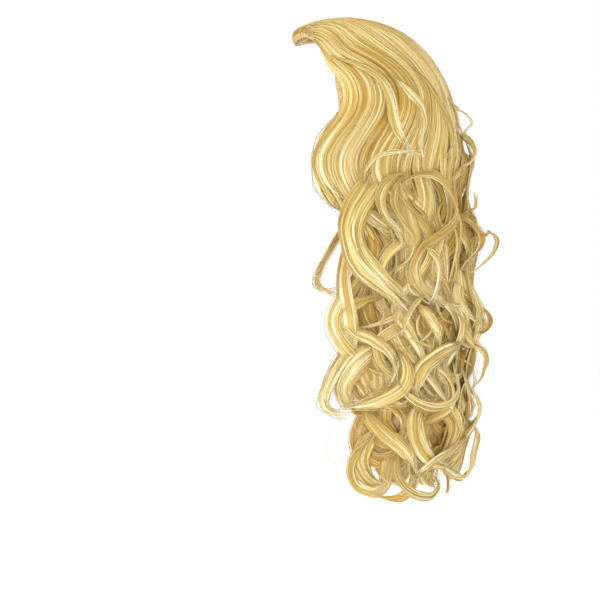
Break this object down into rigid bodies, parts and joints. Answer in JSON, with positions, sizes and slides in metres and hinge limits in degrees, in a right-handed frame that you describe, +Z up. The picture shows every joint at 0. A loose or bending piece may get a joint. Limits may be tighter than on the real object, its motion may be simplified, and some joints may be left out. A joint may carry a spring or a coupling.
{
  "type": "half wig",
  "caption": "Half wig of long wavy ringlets that hang from a hollow cap over the crown and back of the head, held by a comb under its rolled front edge.",
  "frame": {"origin": "the point inside the cap that sits on the top of the head", "axes": "+Z up, -Y the way the wearer faces, +X the wearer's left"},
  "size_m": [0.2722, 0.2081, 0.5034],
  "materials": {
    "hair": "glossy straw blond synthetic hair",
    "cap": "beige net cap",
    "comb": "translucent brown plastic"
  },
  "bodies": {
    "root": {"wig_cap": "cap", "front_comb": "comb", "crown_hair": "hair", "right_side_lock": "hair", "right_lock_4": "hair", "right_lock_3": "hair", "right_lock_2": "hair", "right_lock_1": "hair", "centre_lock": "hair", "left_lock_1": "hair", "left_lock_2": "hair", "left_lock_3": "hair", "left_lock_4": "hair", "left_side_lock": "hair", "nape_lock_1": "hair", "nape_lock_2": "hair", "nape_lock_3": "hair", "nape_lock_4": "hair", "nape_lock_5": "hair"}
  },
  "joints": []
}
